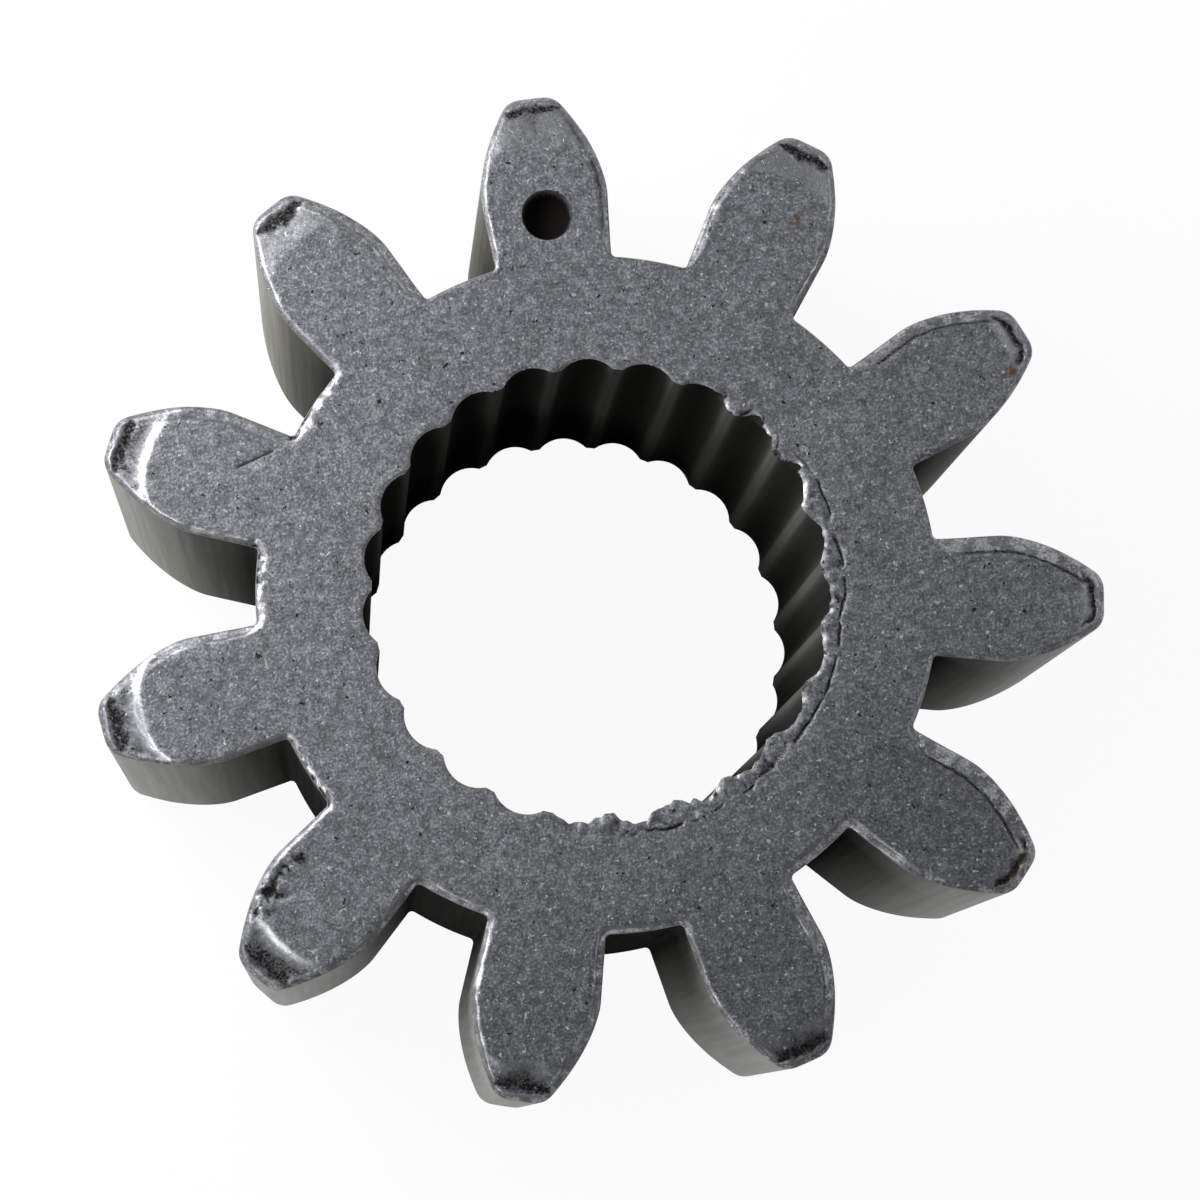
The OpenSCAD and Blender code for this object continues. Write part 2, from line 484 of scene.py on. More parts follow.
    # slopes that the punch rubbed smooth
    patchy = 0.45 + 0.55 * fade(-0.4, 0.3, unevenness(points, 0.8, 15) + 0.5 * ragged)
    patchy = patchy * (1 - 0.5 * fade(16.8, 17.9, r) * ~np.isin(tooth, f["brightFlanks"]))
    band = fade(0.0, 0.06, past) * (1 - fade(0.2, 0.42, past + 0.12 * ragged))
    smooth = np.maximum.reduce([
        perTooth("slopeShine", tooth) * fade(0.0, 0.06, bevel),
        fade(0.01, 0.05, step) * patchy * (1 - 0.7 * land),
        perTooth("bandShine", tooth) * band,
        rubbed])
    smooth = smooth * (0.35 + 0.65 * np.maximum(fade(0.05, 0.22, d), 1 - fade(18.5, 19.5, r)))

    # bright flecks on the land, on the slope down to it and along the outer edge; on the slope of some flanks
    # they are painted highlight as well as wear
    flecks = fade(-0.3, 0.35, unevenness(points, 0.32, 16) + 0.7 * ragged)
    edgeWear = 0.6 * ridge(d - 0.1, 0.1) * fade(14.2, 14.8, r)
    # painted highlight: bright flecks along the slope of some flanks, tooth by tooth, where glints fall
    sheenOnSlope = 1.3 * sided("rubbed", tooth, across) * ridge(e - 0.08, 0.09) * within(r, 15.4, 19.6, 0.5)
    wear = np.maximum.reduce([land * perTooth("landFlecks", tooth), edgeWear, sheenOnSlope]) * flecks

    # what is torn or dirty shows dark: crevices, a chipped strip and bites out of edges, and the outer
    # bevels, which are torn and also darkened with painted shade, most on the lowest teeth
    # painted shade: the outer bevels are darkened tooth by tooth as well as torn
    tornAndShadedBevel = perTooth("slopeDark", tooth) * fade(0.3, 0.75, past) * (0.75 + 0.5 * ragged)
    tornAndShadedBevel = tornAndShadedBevel * fade(0.2, 0.4, d)
    chipTooth, x0, x1, y0, y1 = f["chipStrip"]
    chips = (tooth == chipTooth) * within(across, x0, x1, 0.2) * within(out, y0, y1, 0.4)
    chips = chips * fade(-0.25, 0.1, ragged)
    boreBits = chipped * (1 - fade(0.12, 0.3, atBore)) * fade(0.05, 0.25, unevenness(points, 0.25, 18))
    rootBits = atRoot * (1 - fade(0.03, 0.1, e)) * fade(0.0, 0.25, unevenness(points, 0.24, 20))
    lipBits = onLip * fade(0.4, 0.65, unevenness(points, 0.2, 19))
    bites = np.maximum.reduce([boreBits, 1.1 * rootBits, 0.7 * lipBits])
    depth = depth + f["chipStripDepth"] * chips + f["biteDepth"] * bites
    dark = np.maximum.reduce([crevice, 1.1 * crack, tornAndShadedBevel, 1.1 * chips, 0.9 * scratch])
    dark = np.maximum.reduce([np.clip(dark, 0, 1.2), bites, 1.8 * fade(0.25, 0.8, inDot)])
    smooth = smooth * (1 - 0.85 * np.clip(dark, 0, 1))

    rust = np.zeros(len(points))
    for k, x, y, size in f["rustSpots"]:
        gap = np.linalg.norm(points - onTooth(k, x, y), axis=1)
        rust = np.maximum(rust, 1 - fade(0.4 * size, size, gap + 0.4 * size * ragged))
    # painted shade: the face darkens towards its lower right, away from the key lamp
    oil = fade(0.3, 1.0, np.cos(np.radians(a - f["paintedShadeAtDeg"]))) * fade(9, 15, r) * f["paintedShadeShare"]
    return depth, smooth, dark, rust, wear, oil


def plainFace(points, atBore):
    f = faceForm
    d = depthInside(points, outline, outlineOut)[0]
    e = d - f["plainRim"]
    r = np.linalg.norm(points, axis=1)
    step = f["chamferSlope"] * np.clip(f["plainChamfer"] - e, 0, f["plainChamfer"])
    bevel = tipBevel(r - (tipRadius - np.mean(f["bevelWidths"])), f["plainBand"])
    depth = np.maximum(step, bevel) + wornEdge(d, f["edgeRound"])
    depth = depth + f["faceWave"] * (1 + unevenness(points, 0.5, 31)) * fade(0.0, 0.2, e)
    depth = depth + f["plainBoreDrop"] * np.clip(1 - atBore / f["plainBoreRound"], 0, 1)
    smooth = np.maximum(fade(0.0, 0.06, bevel), fade(0.01, 0.06, step))
    wear = 0.4 * ridge(d - 0.1, 0.1) * fade(-0.3, 0.35, unevenness(points, 0.5, 32))
    none = np.zeros(len(points))
    return depth, smooth, none, none, wear, none


# Points over a face: close together at the edges, wide apart on the plain ring
spread = {
    "edgeBreak": 0.05,          # mm, worn corner between rim and wall
    "edgeRings": [0.1, 0.16, 0.23, 0.31],       # mm in from the outline
    "rings": [0.0, 0.06, -0.06, 0.12, 0.18, 0.25, 0.32, -0.14, 0.42, 0.56],     # mm in from the land
    "ringInset": 0.085,         # mm, no ring nearer the outline
    "boreRings": [0.08, 0.16, 0.24, 0.34, 0.46, 0.6, 0.75, 0.92],       # mm out from the bore
    "closeBoreRings": 5,        # with every point of the bore's edge, the others with half of them
    "ringGap": 0.055,           # mm, least gap to points already set
    "crackRings": [0.0, 0.05, -0.05, 0.1, -0.1, 0.16, -0.16],           # mm about the crack
    "crackPoints": 900,
    "crackPastDeg": 8,
    "crackInset": 0.1,
    "scratchRows": [0.0, 0.06, -0.06, 0.14, -0.14],     # mm about the scratch
    "scratchPoints": 26,
    "markGap": 0.04,
    "dotRings": [(0.0, 1), (0.3, 10), (0.6, 20), (0.75, 30), (faceForm["dotFloor"] / 2, 48),
                 (faceForm["dotDiameter"] / 2, 64), (1.12, 64), (1.25, 48)],    # mm, and points
    "dotGap": 0.03,
    "tipStep": 0.14,
    "tipFrom": 17.4,
    "plainStep": 0.5,
    "plainSpan": (9.7, 17.6),
    "scatter": 0.12,            # share of a step that points stray
}


def hexGrid(step, reach):
    count = int(reach / step) + 2
    i, j = np.meshgrid(np.arange(-count, count + 1), np.arange(-count, count + 1))
    rowHeight = 0.866                       # of a triangle with equal sides
    grid = np.stack([(i + 0.5 * (j % 2)) * step, j * step * rowHeight], -1).reshape(-1, 2)
    stray = spread["scatter"]
    return grid + np.random.default_rng(11).uniform(-stray, stray, grid.shape) * step


def circle(radius, count):
    a = np.linspace(0, 2 * math.pi, count, endpoint=False)
    return radius * np.stack([np.cos(a), np.sin(a)], 1)


def facePoints():
    rim = outline - spread["edgeBreak"] * outlineOut
    sets = [(rim, 0.0), (boreEdge, 0.0)]
    for radius, count in spread["dotRings"]:
        sets.append((dotCentre + circle(radius, count), spread["dotGap"]))
    start, end = scratchEnds()
    along = np.linspace(-0.1, 1.1, spread["scratchPoints"])[:, None]
    side = np.array([-(end - start)[1], (end - start)[0]]) / np.linalg.norm(end - start)
    for off in spread["scratchRows"]:
        sets.append((start + along * (end - start) + off * side, spread["markGap"]))
    for e in spread["rings"] + spread["edgeRings"]:
        width = (rimAlong if e in spread["rings"] else 0 * rimAlong) + e
        ring = outline - width[:, None] * outlineOut
        apart = depthInside(ring, outline, outlineOut)[0]
        clear = (apart > 0.95 * width) & (apart > spread["ringInset"])
        sets.append((ring[clear], spread["ringGap"]))
    for n, d in enumerate(spread["boreRings"]):
        every = 1 if n < spread["closeBoreRings"] else 2
        ring = (boreEdge + d * boreOut)[::every]
        gap = np.linalg.norm(ring - boreEdge[nearest(ring, boreEdge)], axis=1)
        sets.append((ring[gap > 0.9 * d], spread["ringGap"]))
    for off in spread["crackRings"]:
        ring = circle(faceForm["crackRadius"] + off, spread["crackPoints"])
        a = clockwiseDeg(ring)
        past = spread["crackPastDeg"]
        ring = ring[(a > faceForm["lipFromDeg"] - past) & (a < faceForm["crackToDeg"] + past)]
        gap = np.linalg.norm(ring - boreEdge[nearest(ring, boreEdge)], axis=1)
        sets.append((ring[gap > spread["crackInset"]], spread["markGap"]))
    for step, low, high in ((spread["tipStep"], spread["tipFrom"], tipRadius),
                            (spread["plainStep"], *spread["plainSpan"])):
        grid = hexGrid(step, tipRadius)
        r = np.linalg.norm(grid, axis=1)
        grid = grid[(r > low) & (r < high)]
        inside = depthInside(grid, rim, outlineOut)[0]
        sets.append((grid[inside > 0.5 * step], 0.62 * step))
    return sets


def thinned(sets):
    # earlier sets come first, and a later point is left out where it is too near one of them
    cell = 0.06                             # mm
    taken, kept = {}, []
    for points, gap in sets:
        reach = int(math.ceil(gap / cell))
        around = [(a, b) for a in range(-reach, reach + 1) for b in range(-reach, reach + 1)]
        for x, y in points:
            i, j = int(math.floor(x / cell)), int(math.floor(y / cell))
            near = (p for a, b in around for p in taken.get((i + a, j + b), ()))
            if all((px - x) ** 2 + (py - y) ** 2 >= gap * gap for px, py in near):
                taken.setdefault((i, j), []).append((x, y))
                kept.append((x, y))
    return np.array(kept)


def faceTriangles(points, rimCount, boreCount):
    rimEdges = [(i, (i + 1) % rimCount) for i in range(rimCount)]
    boreEdges = [(rimCount + i, rimCount + (i + 1) % boreCount) for i in range(boreCount)]
    made = delaunay_2d_cdt([Vector(p) for p in points], rimEdges + boreEdges, [], 0, 1e-6)
    back = [source[0] if source else -1 for source in made[3]]
    triangles = np.array([[back[v] for v in face] for face in made[2]])
    onRim = (triangles < rimCount).all(1)
    onBore = ((triangles >= rimCount) & (triangles < rimCount + boreCount)).all(1)
    keep = ~(onRim | onBore) & (triangles >= 0).all(1)
    triangles = triangles[keep]
    a, b, c = points[triangles[:, 0]], points[triangles[:, 1]], points[triangles[:, 2]]
    area = (b[:, 0] - a[:, 0]) * (c[:, 1] - a[:, 1]) - (b[:, 1] - a[:, 1]) * (c[:, 0] - a[:, 0])
    triangles[area < 0] = triangles[area < 0][:, ::-1]
    return triangles


flat = thinned(facePoints())
rimCount, boreCount = len(outline), len(boreEdge)
triangles = faceTriangles(flat, rimCount, boreCount)
print("face of %d points, %d triangles" % (len(flat), len(triangles)))


# The whole gear as one closed mesh
body = {
    "wallRows": [0.0, 0.03, 0.1, 0.25, 0.45, 0.65, 0.85, 0.97, 1.0],    # shares of a wall's height
    "marks": {"burnish": 1.0, "crevice": 0.0, "rust": 0.0, "wear": 0.0, "oil": 0.0},    # as on the walls
    "sharpDeg": 42,
}
faceKind, wallKind, boreKind = 0, 1, 2      # material slots


def burrReach(nearBore):
    # the burr hangs ragged into the bore at the marked face, and a few grooves are chipped wider
    f = faceForm
    a = clockwiseDeg(flat)
    way = roundBore(a)
    torn = within(a, f["tornFromDeg"], f["lipToDeg"], 10)
    tear = 0.15 + (0.2 + 0.2 * torn) * unevenness(way, 0.85, 41)
    tear = tear + (0.17 + 0.22 * torn) * unevenness(way, 0.26, 43)
    hang = within(a, f["lipFromDeg"], f["lipToDeg"], 4) * np.clip(tear + 0.3 * torn, 0, 1.3)
    chip = within(a, f["chipFromDeg"], f["chipToDeg"], 2)
    chip = chip * fade(9.3, 9.5, np.linalg.norm(flat, axis=1)) * fade(-0.3, 0.1, unevenness(way, 0.6, 47))
    near = np.clip(1 - nearBore / f["lipFoot"], 0, 1)
    return (f["lipReach"] * hang - f["chipReach"] * chip) * near


def buildGear():
    n = len(flat)
    nearBore = np.linalg.norm(flat - boreEdge[nearest(flat, boreEdge)], axis=1)
    upDepth, *upMarks = markedFace(flat, nearBore)
    downDepth, *downMarks = plainFace(flat, nearBore)
    hang = burrReach(nearBore)
    inward = -flat / np.linalg.norm(flat, axis=1)[:, None]
    top = np.column_stack([flat + inward * hang[:, None], faceWidth - upDepth])
    bottom = np.column_stack([flat, downDepth])
    verts = [top, bottom]
    polys = [triangles, triangles[:, ::-1] + n]
    kinds = [np.full(len(triangles), faceKind), np.full(len(triangles), faceKind)]
    marks = [[up, down] for up, down in zip(upMarks, downMarks)]
    total = 2 * n

    def wall(topIds, bottomIds, loop, topZ, bottomZ, kind):
        nonlocal total
        count = len(topIds)
        ids = [topIds]
        for share in body["wallRows"]:
            verts.append(np.column_stack([loop, topZ - (topZ - bottomZ) * share]))
            for mark, value in zip(marks, body["marks"].values()):
                mark.append(np.full(count, value))
            ids.append(np.arange(count) + total)
            total += count
        ids.append(bottomIds)
        for upper, lower in zip(ids[:-1], ids[1:]):
            quad = np.column_stack([upper, lower, np.roll(lower, -1), np.roll(upper, -1)])
            polys.append(quad[:, ::-1] if kind == boreKind else quad)
            onEdge = upper is topIds and kind == wallKind       # the worn corner looks like the face
            kinds.append(np.full(count, faceKind if onEdge else kind))

    rimIds, boreIds = np.arange(rimCount), np.arange(boreCount) + rimCount
    wall(rimIds, rimIds + n, outline, top[rimIds, 2] - spread["edgeBreak"],
         bottom[rimIds, 2] + spread["edgeBreak"], wallKind)
    burr = faceForm["burrHeight"] + 0.2 * np.clip(hang[boreIds], 0, 1)
    wall(boreIds, boreIds + n, boreEdge, top[boreIds, 2] - burr,
         bottom[boreIds, 2] + faceForm["plainBoreEdge"], boreKind)
    named = dict(zip(body["marks"], [np.concatenate(mark) for mark in marks]))
    return np.vstack(verts), polys, kinds, named


verts, polys, kinds, marks = buildGear()
mesh = bpy.data.meshes.new("pinion_body")
faces = [tuple(int(v) for v in row) for block in polys for row in block]
mesh.from_pydata((verts * mm).tolist(), [], faces)
mesh.polygons.foreach_set("material_index", np.concatenate(kinds).astype(np.int32))
for name, values in marks.items():
    layer = mesh.attributes.new(name, "FLOAT", "POINT")
    layer.data.foreach_set("value", values.astype(np.float32))
mesh.polygons.foreach_set("use_smooth", np.ones(len(faces), bool))
mesh.set_sharp_from_angle(angle=math.radians(body["sharpDeg"]))
mesh.update()
pinion = bpy.data.objects.new("pinion_body", mesh)
bpy.context.scene.collection.objects.link(pinion)
print("pinion of %d points, %d faces" % (len(verts), len(faces)))


# Materials
def linear(hexColour):
    parts = [int(hexColour[i:i + 2], 16) / 255 for i in (1, 3, 5)]
    return [c / 12.92 if c <= 0.04045 else ((c + 0.055) / 1.055) ** 2.4 for c in parts] + [1.0]


def addNode(tree, kind, settings=None, **links):
    node = tree.nodes.new(kind)
    for key, value in (settings or {}).items():
        if key == "stops":                  # a colour ramp's places, with a grey or a hex colour at each
            stops = node.color_ramp.elements
            while len(stops) < len(value):
                stops.new(0.5)
            for stop, (place, colour) in zip(stops, value):
                stop.position = place
                stop.color = linear(colour) if isinstance(colour, str) else (colour, colour, colour, 1)
        elif isinstance(key, str) and hasattr(node, key):
            setattr(node, key, value)
        else:
            node.inputs[key].default_value = value
    for key, source in links.items():
        slot = int(key[1:]) if key[0] == "i" and key[1:].isdigit() else key.replace("_", " ")
        tree.links.new(source, node.inputs[slot])
    return node


def newMaterial(name):
    material = bpy.data.materials.new(name)
    material.use_nodes = True
    material.node_tree.nodes.clear()
    return material, material.node_tree


# Sintered steel, pressed by a flat punch: powder grain that stays open, so the face is a matt
# mid grey of tiny bright flakes and dark pores. The bevels and rim were rubbed by the punch.
# The powder itself is too fine to show, so the grain is drawn about twice as coarse.
sinteredFace = {
    "grain": 0.11,              # mm across a grain, as drawn
    "clump": 0.3,               # mm, grains that hang together
    "pore": 0.36,               # mm, patches that hold a pore
    "flake": 0.25,              # mm, patches that hold a bright flake
    "cloud": 5.0,               # mm, slow changes of tone
    "relief": 0.05,             # mm
    "greys": [(0.34, "#434447"), (0.5, "#6b6d72"), (0.66, "#9c9ea4")],
    # painted shade, laid over one side of the face
    "sideShadeTone": "#0a0a0b",
    "flaked": "#bfc0c4",
    "pored": "#131314",
    "rubbed": "#a6a7ab",
    # bright worn flecks, partly painted highlight on some flanks
    "worn": "#c9cacc",
    # dark of torn and dirty spots, and painted shade on the outer bevels
    "dirty": "#1a1815",
    "rusty": "#5a3f2c",
    "roughness": 0.5,
    "rubbedRoughness": 0.27,
    "flakeRoughness": -0.2,     # added on a flake
    "dirtyRoughness": 0.85,
    "metallic": 0.5,            # pores and oxide hide half of the metal
    "rubbedMetallic": 0.85,
    "dirtyMetallic": 0.8,
}


def sinteredFaceMaterial():
    s = sinteredFace
    material, tree = newMaterial("sinteredSteelPressedFace")
    place = addNode(tree, "ShaderNodeTexCoord").outputs["Object"]
    burnish, torn, rust, wear, oil = [
        addNode(tree, "ShaderNodeAttribute", {"attribute_name": name}).outputs["Fac"]
        for name in body["marks"]]
    fine, clumps, pores, flakes, cloud = [
        addNode(tree, "ShaderNodeTexNoise", {"Scale": 1 / (s[name] * mm), "Detail": 3.0, "Roughness": 0.6},
                Vector=place).outputs["Fac"]
        for name in ("grain", "clump", "pore", "flake", "cloud")]
    grain = addNode(tree, "ShaderNodeMix", {"data_type": "FLOAT", "Factor": 0.45},
                    i2=fine, i3=clumps).outputs[0]
    pore = addNode(tree, "ShaderNodeValToRGB", {"stops": [(0.3, 1.0), (0.33, 0.0)]}, Fac=pores).outputs[0]
    flake = addNode(tree, "ShaderNodeValToRGB", {"stops": [(0.645, 0.0), (0.675, 1.0)]},
                    Fac=flakes).outputs[0]

    # crevices and worn spots break up into single grains
    crumbs = addNode(tree, "ShaderNodeMath", {"operation": "MULTIPLY_ADD", 1: 2.6, 2: -1.3},
                     i0=fine).outputs[0]
    loose, baredAndSheen = [addNode(tree, "ShaderNodeMath", {"operation": "ADD"}, i0=mark, i1=crumbs).outputs[0]
                    for mark in (torn, wear)]
    crumbled = addNode(tree, "ShaderNodeMapRange", {1: 0.15, 2: 1.1}, Value=loose).outputs[0]
    there = addNode(tree, "ShaderNodeMapRange", {1: 0.05, 2: 0.35}, Value=torn).outputs[0]
    crevice = addNode(tree, "ShaderNodeMath", {"operation": "MULTIPLY"}, i0=crumbled, i1=there).outputs[0]
    bright = addNode(tree, "ShaderNodeMapRange", {1: 0.25, 2: 1.4, 4: 1.0}, Value=baredAndSheen).outputs[0]

    # grey of the powder, then each layer over it: painted shade on one side, flakes, pores, rubbed sheen,
    # bright flecks that are partly painted highlight, dirt that is partly painted shade, and rust
    grey = addNode(tree, "ShaderNodeValToRGB", {"stops": s["greys"]}, Fac=grain).outputs[0]
    slow = addNode(tree, "ShaderNodeValToRGB", {"stops": [(0.3, 0.8), (0.7, 1.0)]}, Fac=cloud).outputs[0]
    colour = addNode(tree, "ShaderNodeMix", {"data_type": "RGBA", "blend_type": "MULTIPLY", "Factor": 0.5},
                     i6=grey, i7=slow).outputs[2]
    for mask, tint in ((oil, "sideShadeTone"), (flake, "flaked"), (pore, "pored"), (burnish, "rubbed"),
                       (bright, "worn"), (crevice, "dirty"), (rust, "rusty")):
        colour = addNode(tree, "ShaderNodeMix", {"data_type": "RGBA", 7: linear(s[tint])},
                         i0=mask, i6=colour).outputs[2]

    satin = addNode(tree, "ShaderNodeMix", {"data_type": "FLOAT", 2: s["roughness"], 3: s["rubbedRoughness"]},
                    i0=burnish).outputs[0]
    facet = addNode(tree, "ShaderNodeMath", {"operation": "MULTIPLY_ADD", 1: s["flakeRoughness"]},
                    i0=flake, i2=satin).outputs[0]
    matt = addNode(tree, "ShaderNodeMix", {"data_type": "FLOAT", 3: s["dirtyRoughness"]},
                   i0=crevice, i2=facet).outputs[0]
    metal = addNode(tree, "ShaderNodeMix", {"data_type": "FLOAT", 2: s["metallic"], 3: s["rubbedMetallic"]},
                    i0=burnish).outputs[0]
    shine = addNode(tree, "ShaderNodeMix", {"data_type": "FLOAT", 3: s["dirtyMetallic"]},
                    i0=crevice, i2=metal).outputs[0]
    pits = addNode(tree, "ShaderNodeMath", {"operation": "SUBTRACT"}, i0=grain, i1=pore).outputs[0]
    relief = addNode(tree, "ShaderNodeMath", {"operation": "MULTIPLY_ADD", 1: 0.6},
                     i0=flake, i2=pits).outputs[0]
    hold = addNode(tree, "ShaderNodeMix", {"data_type": "FLOAT", 2: 0.7, 3: 0.12}, i0=burnish).outputs[0]
    bump = addNode(tree, "ShaderNodeBump", {"Distance": s["relief"] * mm}, Strength=hold, Height=relief)
    shader = addNode(tree, "ShaderNodeBsdfPrincipled", None, Base_Color=colour, Metallic=shine,
                     Roughness=matt, Normal=bump.outputs[0])
    addNode(tree, "ShaderNodeOutputMaterial", None, Surface=shader.outputs[0])
    return material


def drawnLines(tree, s):
    # distance from the axis, and fine lines drawn out along it
    place = addNode(tree, "ShaderNodeTexCoord").outputs["Object"]
    parts = addNode(tree, "ShaderNodeSeparateXYZ", None, i0=place)
    across = addNode(tree, "ShaderNodeCombineXYZ", None, X=parts.outputs[0], Y=parts.outputs[1])
    radius = addNode(tree, "ShaderNodeVectorMath", {"operation": "LENGTH"}, i0=across.outputs[0]).outputs[1]
    fine, long = 1 / (s["lineWidth"] * mm), 1 / (s["lineLength"] * mm)
    stretched = addNode(tree, "ShaderNodeMapping", {"Scale": (fine, fine, long)}, Vector=place).outputs[0]
    lines = addNode(tree, "ShaderNodeTexNoise", {"Scale": 1.0, "Detail": s["lineDetail"]},
                    Vector=stretched).outputs["Fac"]
    return radius, lines


# Sintered steel drawn along the die: a satin skin with faint lines along the axis, grey with
# a warm cast at the tips, matt with oil down in the gaps, and painted shade that darkens its
# grey from tip to root. The real lines are a few hundredths of a millimetre wide, too fine to
# show, so they are drawn several times as wide.
dieWall = {
    "lineWidth": 0.36,          # mm
    "lineLength": 14.0,
    "lineDetail": 2.0,
    "relief": 0.01,
    # painted shade: the tones darken from tip to root, as the gaps shade the walls
    "shadedTones": [(0.0, "#3b3a37"), (0.3, "#5f5e58"), (0.6, "#7f7e77"), (1.0, "#93928c")],     # root to tip
    "blendShare": [(0.05, 0.01), (0.5, 0.3), (1.0, 0.8)],    # share that is free of oil, root to tip
    "oiledRoughness": 0.8,
    "bareRoughness": 0.45,
    "bareMetallic": 0.3,
}


def dieWallMaterial():
    s = dieWall
    material, tree = newMaterial("sinteredSteelDieWall")
    radius, lines = drawnLines(tree, s)
    height = addNode(tree, "ShaderNodeMapRange", {1: rootRadius * mm, 2: tipRadius * mm},
                     Value=radius).outputs[0]
    shadedTone = addNode(tree, "ShaderNodeValToRGB", {"stops": s["shadedTones"]}, Fac=height).outputs[0]
    worn = addNode(tree, "ShaderNodeValToRGB", {"stops": [(0.3, 0.6), (0.65, 1.0)]}, Fac=lines).outputs[0]
    lined = addNode(tree, "ShaderNodeMix", {"data_type": "RGBA", "blend_type": "MULTIPLY", "Factor": 0.8},
                    i6=shadedTone, i7=worn).outputs[2]
    bump = addNode(tree, "ShaderNodeBump", {"Distance": s["relief"] * mm, "Strength": 0.4}, Height=lines)
    oiled = addNode(tree, "ShaderNodeBsdfPrincipled",
                    {"Roughness": s["oiledRoughness"], "Specular IOR Level": 0.0},
                    Base_Color=lined, Normal=bump.outputs[0])
    bare = addNode(tree, "ShaderNodeBsdfPrincipled",
                   {"Roughness": s["bareRoughness"], "Metallic": s["bareMetallic"]},
                   Base_Color=lined, Normal=bump.outputs[0])
    blendShare = addNode(tree, "ShaderNodeValToRGB", {"stops": s["blendShare"]}, Fac=height).outputs[0]
    shader = addNode(tree, "ShaderNodeMixShader", None, i0=blendShare, i1=oiled.outputs[0], i2=bare.outputs[0])
    addNode(tree, "ShaderNodeOutputMaterial", None, Surface=shader.outputs[0])
    return material


# Sintered steel serrated by the core rod: black and matt, with painted highlight along the crests
# and painted shade down in the grooves. Its lines too are drawn wider than they are.
boreWall = {
    "lineWidth": 0.5,           # mm
    "lineLength": 14.0,
    "lineDetail": 1.0,
    "relief": 0.01,
    # painted highlight on the crests and painted shade in the grooves
    "shadedTones": [(0.1, "#5f5f5b"), (0.5, "#3b3b38"), (0.85, "#2a2a28")],       # crest to groove
    "roughness": 0.8,
}


def boreWallMaterial():
    s = boreWall
    material, tree = newMaterial("sinteredSteelBorePaintedShade")
    radius, lines = drawnLines(tree, s)
    crest = bore["crestDiameter"] / 2
    depth = addNode(tree, "ShaderNodeMapRange", {1: crest * mm, 2: (crest + bore["serrationDepth"]) * mm},
                    Value=radius).outputs[0]
    # painted shade: darker from crest to groove
    blendShare = addNode(tree, "ShaderNodeMix", {"data_type": "FLOAT", "Factor": 0.25},
                    i2=depth, i3=lines).outputs[0]
    shadedTone = addNode(tree, "ShaderNodeValToRGB", {"stops": s["shadedTones"]}, Fac=blendShare).outputs[0]
    bump = addNode(tree, "ShaderNodeBump", {"Distance": s["relief"] * mm, "Strength": 0.3}, Height=lines)
    shader = addNode(tree, "ShaderNodeBsdfPrincipled",
                     {"Roughness": s["roughness"], "Specular IOR Level": 0.0},
                     Base_Color=shadedTone, Normal=bump.outputs[0])
    addNode(tree, "ShaderNodeOutputMaterial", None, Surface=shader.outputs[0])
    return material


for make in (sinteredFaceMaterial, dieWallMaterial, boreWallMaterial):
    mesh.materials.append(make())
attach(pinion, "root")
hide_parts("pinion_gear")
print("materials set")


# Floor, light and camera
stageSet = {
    "floorSize": 1.6,           # m
    "floorWhite": 0.94,         # share of the floor that shows as plain white
    "worldLight": 0.11,
    "floorGap": 0.00002,        # m, keeps the floor just clear of the gear
    "paper": "#f2f2f2",
    "white": "#ffffff",
    # softboxes: way to each in the picture's right and up, lean off the gear's axis, then sizes in m
    # and power in W, small because the whole set is only hand-sized
    "key": {"from": (-0.86, 0.51), "leanDeg": 55, "distance": 0.085,
            "width": 0.06, "height": 0.07, "power": 0.112},
    "side": {"from": (-0.77, -0.64), "leanDeg": 47.5, "distance": 0.2,
             "width": 0.03, "height": 0.16, "power": 0.1},
    "fill": {"from": (0.92, 0.4), "leanDeg": 57, "distance": 0.1,
             "width": 0.007, "height": 0.15, "power": 0.024},
}

half = stageSet["floorSize"] / 2
floorMesh = bpy.data.meshes.new("floor")
floorMesh.from_pydata([(-half, -half, 0), (half, -half, 0), (half, half, 0), (-half, half, 0)],
                      [], [(0, 1, 2, 3)])
floor = bpy.data.objects.new("floor", floorMesh)
bpy.context.scene.collection.objects.link(floor)
floor.location.z = nodeLow.z - stageSet["floorGap"]

paper, tree = newMaterial("whitePaperFloor")
rays = addNode(tree, "ShaderNodeLightPath")
seen = rays.outputs["Is Camera Ray"]
for name in ("Is Glossy Ray", "Is Transmission Ray"):
    seen = addNode(tree, "ShaderNodeMath", {"operation": "MAXIMUM"},
                   i0=seen, i1=rays.outputs[name]).outputs[0]
share = addNode(tree, "ShaderNodeMath", {"operation": "MULTIPLY", 1: stageSet["floorWhite"]}, i0=seen)
matt = addNode(tree, "ShaderNodeBsdfDiffuse", {"Color": linear(stageSet["paper"])})
white = addNode(tree, "ShaderNodeEmission", {"Color": linear(stageSet["white"]), "Strength": 1.0})
both = addNode(tree, "ShaderNodeMixShader", None, i0=share.outputs[0], i1=matt.outputs[0],
               i2=white.outputs[0])
addNode(tree, "ShaderNodeOutputMaterial", None, Surface=both.outputs[0])
floorMesh.materials.append(paper)

world = bpy.data.worlds.new("studio")
world.use_nodes = True
bpy.context.scene.world = world
background = world.node_tree.nodes["Background"]
background.inputs["Color"].default_value = linear(stageSet["white"])
background.inputs["Strength"].default_value = stageSet["worldLight"]

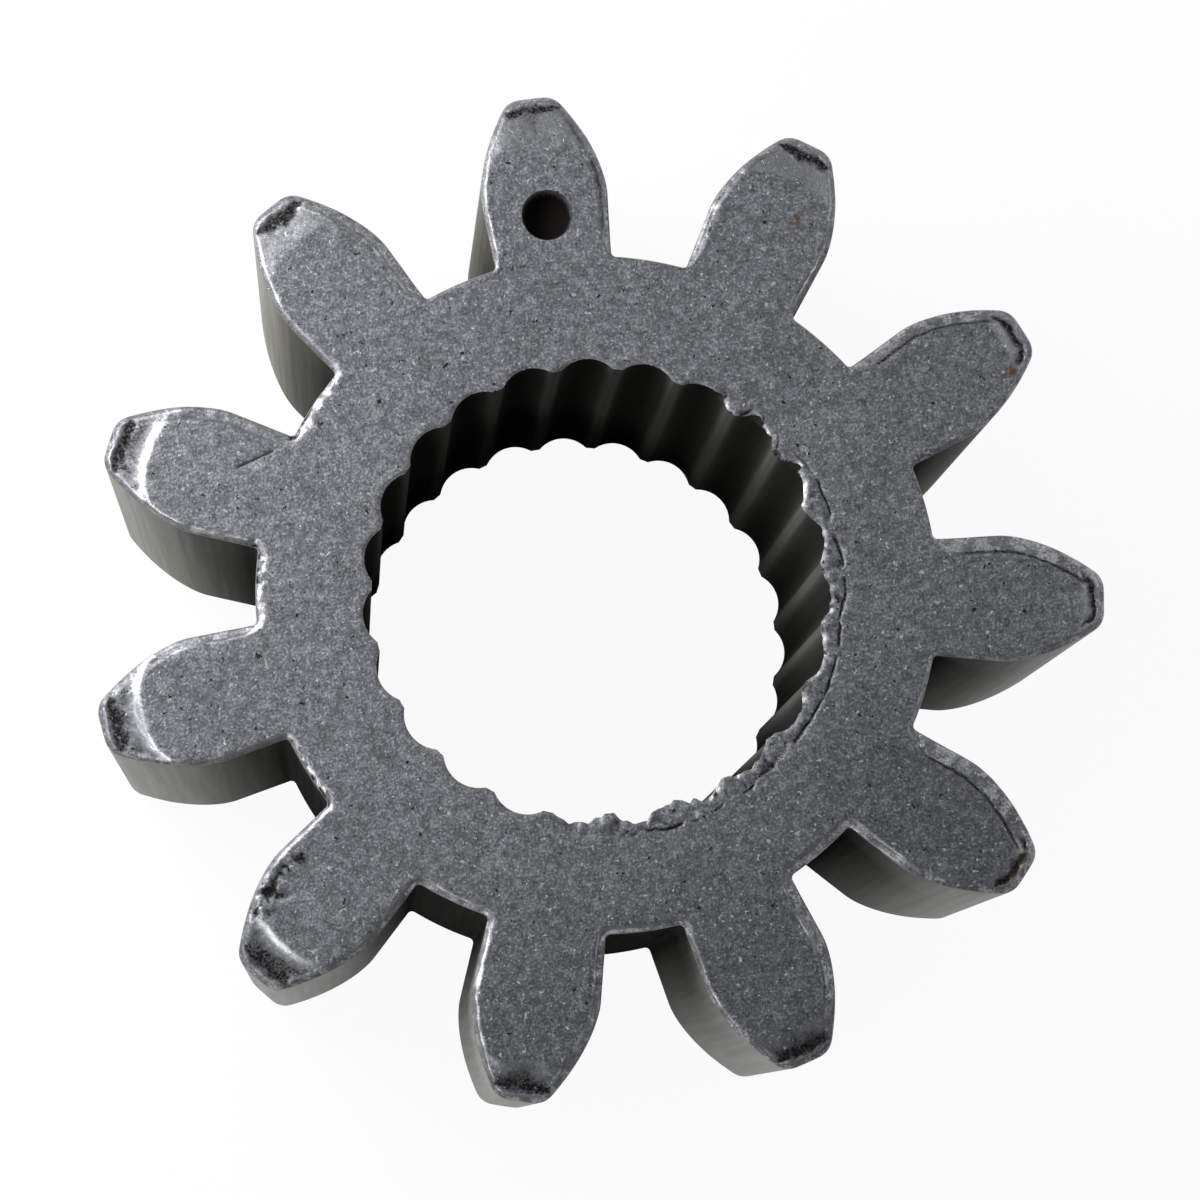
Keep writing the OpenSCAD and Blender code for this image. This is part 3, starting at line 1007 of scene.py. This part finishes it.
middle = Vector((0, 0, faceWidth * mm))


def standAt(thing, right, up, back, place):
    thing.matrix_world = Matrix((
        (right.x, up.x, back.x, place.x), (right.y, up.y, back.y, place.y),
        (right.z, up.z, back.z, place.z), (0, 0, 0, 1)))


def softbox(name):
    s = stageSet[name]
    flatWay = s["from"][0] * pictureRight + s["from"][1] * pictureUp
    flatWay = flatWay / np.linalg.norm(flatWay)
    lean = math.radians(s["leanDeg"])
    away = Vector((flatWay[0] * math.sin(lean), flatWay[1] * math.sin(lean), math.cos(lean)))
    tall = Vector((pictureUp[0], pictureUp[1], 0))
    tall = (tall - away * tall.dot(away)).normalized()
    wide, place = tall.cross(away), middle + away * s["distance"]
    lamp = bpy.data.lights.new(name, "AREA")
    lamp.shape, lamp.energy = "RECTANGLE", s["power"]
    lamp.size, lamp.size_y = s["width"], s["height"]
    holder = bpy.data.objects.new(name, lamp)
    bpy.context.scene.collection.objects.link(holder)
    standAt(holder, wide, tall, away, place)


for name in ("key", "side", "fill"):
    softbox(name)

lens = bpy.data.cameras.new("camera")
lens.lens, lens.sensor_width, lens.sensor_fit = cameraView["lens"], cameraView["sensor"], "HORIZONTAL"
lens.clip_start, lens.clip_end = cameraView["clip"]
camera = bpy.data.objects.new("camera", lens)
bpy.context.scene.collection.objects.link(camera)
bpy.context.scene.camera = camera
lean, towards = math.radians(cameraView["leanDeg"]), math.radians(cameraView["leanTowardsDeg"])
back = Vector((math.sin(lean) * math.cos(towards), math.sin(lean) * math.sin(towards), math.cos(lean)))
stand = middle + back * cameraView["distance"] * mm
aimFlat = cameraView["aimRight"] * pictureRight + cameraView["aimUp"] * pictureUp
aim = middle + Vector((aimFlat[0], aimFlat[1], 0)) * mm
look = (aim - stand).normalized()
rightWay = Vector((pictureRight[0], pictureRight[1], 0))
rightWay = (rightWay - look * rightWay.dot(look)).normalized()
upWay = rightWay.cross(look)
standAt(camera, rightWay, upWay, -look, stand)
bpy.context.scene.view_settings.view_transform = "Standard"
print("floor, light and camera set")
